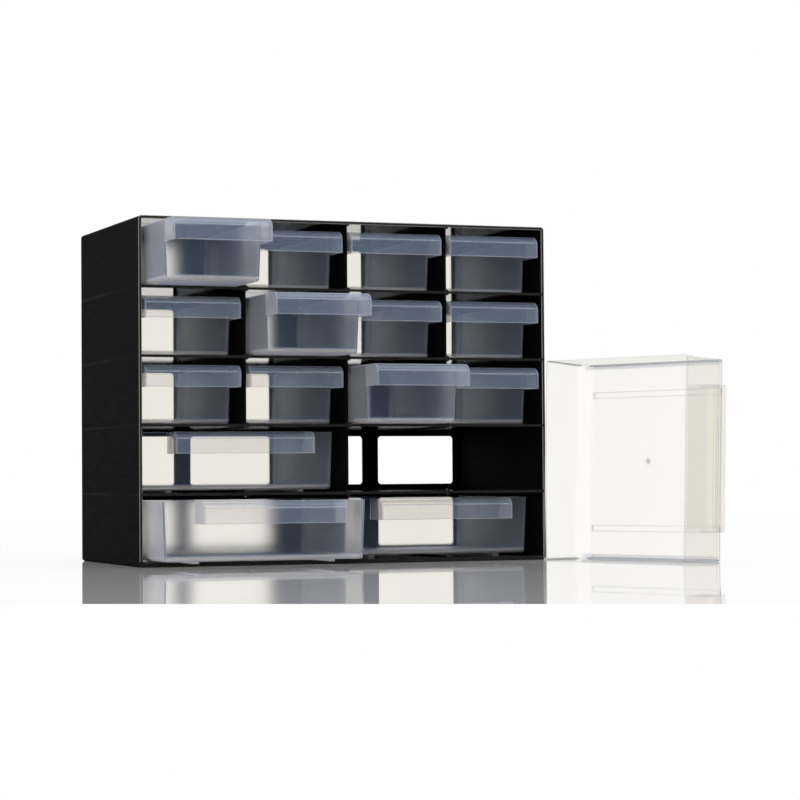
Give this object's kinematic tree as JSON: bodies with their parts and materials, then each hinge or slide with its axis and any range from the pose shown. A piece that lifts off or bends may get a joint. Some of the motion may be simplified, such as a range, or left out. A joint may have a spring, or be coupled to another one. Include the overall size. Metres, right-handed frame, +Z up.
{
  "type": "parts bin cabinet",
  "caption": "Dark moulded storage cabinet with rows of translucent pull-out drawers, some opened and one set beside it.",
  "frame": {"origin": "middle of the face that the housing stands on", "axes": "+X to the right seen from the front, +Y from the open front to the back, +Z up"},
  "size_m": [0.3869, 0.2997, 0.238],
  "materials": {
    "housing": "moulded black polystyrene, satin",
    "drawer": "frosted natural polypropylene, translucent, fine matt grain"
  },
  "bodies": {
    "housing": {"housing_shell": "housing", "rear_grid": "housing", "shelf_1": "housing", "shelf_2": "housing", "shelf_3": "housing", "shelf_4": "housing", "divider_row1_1": "housing", "divider_row1_2": "housing", "divider_row1_3": "housing", "divider_row2_1": "housing", "divider_row2_2": "housing", "divider_row2_3": "housing", "divider_row3_1": "housing", "divider_row3_2": "housing", "divider_row3_3": "housing", "divider_row4_2": "housing", "divider_row5_2": "housing"},
    "small_drawer_row1_col1": {"small_drawer_row1_col1": "drawer"},
    "small_drawer_row1_col2": {"small_drawer_row1_col2": "drawer"},
    "small_drawer_row1_col3": {"small_drawer_row1_col3": "drawer"},
    "small_drawer_row1_col4": {"small_drawer_row1_col4": "drawer"},
    "small_drawer_row2_col1": {"small_drawer_row2_col1": "drawer"},
    "small_drawer_row2_col2": {"small_drawer_row2_col2": "drawer"},
    "small_drawer_row2_col3": {"small_drawer_row2_col3": "drawer"},
    "small_drawer_row2_col4": {"small_drawer_row2_col4": "drawer"},
    "small_drawer_row3_col1": {"small_drawer_row3_col1": "drawer"},
    "small_drawer_row3_col2": {"small_drawer_row3_col2": "drawer"},
    "small_drawer_row3_col3": {"small_drawer_row3_col3": "drawer"},
    "small_drawer_row3_col4": {"small_drawer_row3_col4": "drawer"},
    "wide_drawer_row4_left": {"wide_drawer_row4_left": "drawer"},
    "wide_drawer_row5_left": {"wide_drawer_row5_left": "drawer"},
    "wide_drawer_row5_right": {"wide_drawer_row5_right": "drawer"},
    "wide_drawer_loose": {"wide_drawer_loose": "drawer"}
  },
  "joints": [
    {"name": "small_drawer_row1_col1_slide", "type": "slide", "parent": "housing", "child": "small_drawer_row1_col1", "axis": [0, -1, 0], "range_m": [-0.07, 0.0697]},
    {"name": "small_drawer_row1_col2_slide", "type": "slide", "parent": "housing", "child": "small_drawer_row1_col2", "axis": [0, -1, 0], "range_m": [0, 0.1397]},
    {"name": "small_drawer_row1_col3_slide", "type": "slide", "parent": "housing", "child": "small_drawer_row1_col3", "axis": [0, -1, 0], "range_m": [0, 0.1397]},
    {"name": "small_drawer_row1_col4_slide", "type": "slide", "parent": "housing", "child": "small_drawer_row1_col4", "axis": [0, -1, 0], "range_m": [0, 0.1397]},
    {"name": "small_drawer_row2_col1_slide", "type": "slide", "parent": "housing", "child": "small_drawer_row2_col1", "axis": [0, -1, 0], "range_m": [0, 0.1397]},
    {"name": "small_drawer_row2_col2_slide", "type": "slide", "parent": "housing", "child": "small_drawer_row2_col2", "axis": [0, -1, 0], "range_m": [-0.057, 0.0827]},
    {"name": "small_drawer_row2_col3_slide", "type": "slide", "parent": "housing", "child": "small_drawer_row2_col3", "axis": [0, -1, 0], "range_m": [0, 0.1397]},
    {"name": "small_drawer_row2_col4_slide", "type": "slide", "parent": "housing", "child": "small_drawer_row2_col4", "axis": [0, -1, 0], "range_m": [0, 0.1397]},
    {"name": "small_drawer_row3_col1_slide", "type": "slide", "parent": "housing", "child": "small_drawer_row3_col1", "axis": [0, -1, 0], "range_m": [0, 0.1397]},
    {"name": "small_drawer_row3_col2_slide", "type": "slide", "parent": "housing", "child": "small_drawer_row3_col2", "axis": [0, -1, 0], "range_m": [0, 0.1397]},
    {"name": "small_drawer_row3_col3_slide", "type": "slide", "parent": "housing", "child": "small_drawer_row3_col3", "axis": [0, -1, 0], "range_m": [-0.05, 0.0897]},
    {"name": "small_drawer_row3_col4_slide", "type": "slide", "parent": "housing", "child": "small_drawer_row3_col4", "axis": [0, -1, 0], "range_m": [0, 0.1397]},
    {"name": "wide_drawer_row4_left_slide", "type": "slide", "parent": "housing", "child": "wide_drawer_row4_left", "axis": [0, -1, 0], "range_m": [0, 0.1397]},
    {"name": "wide_drawer_row5_left_slide", "type": "slide", "parent": "housing", "child": "wide_drawer_row5_left", "axis": [0, -1, 0], "range_m": [-0.065, 0.0747]},
    {"name": "wide_drawer_row5_right_slide", "type": "slide", "parent": "housing", "child": "wide_drawer_row5_right", "axis": [0, -1, 0], "range_m": [0, 0.1397]},
    {"name": "wide_drawer_loose_lift", "type": "slide", "parent": "housing", "child": "wide_drawer_loose", "axis": [0, 0, 1], "range_m": [0, 0.26]}
  ]
}
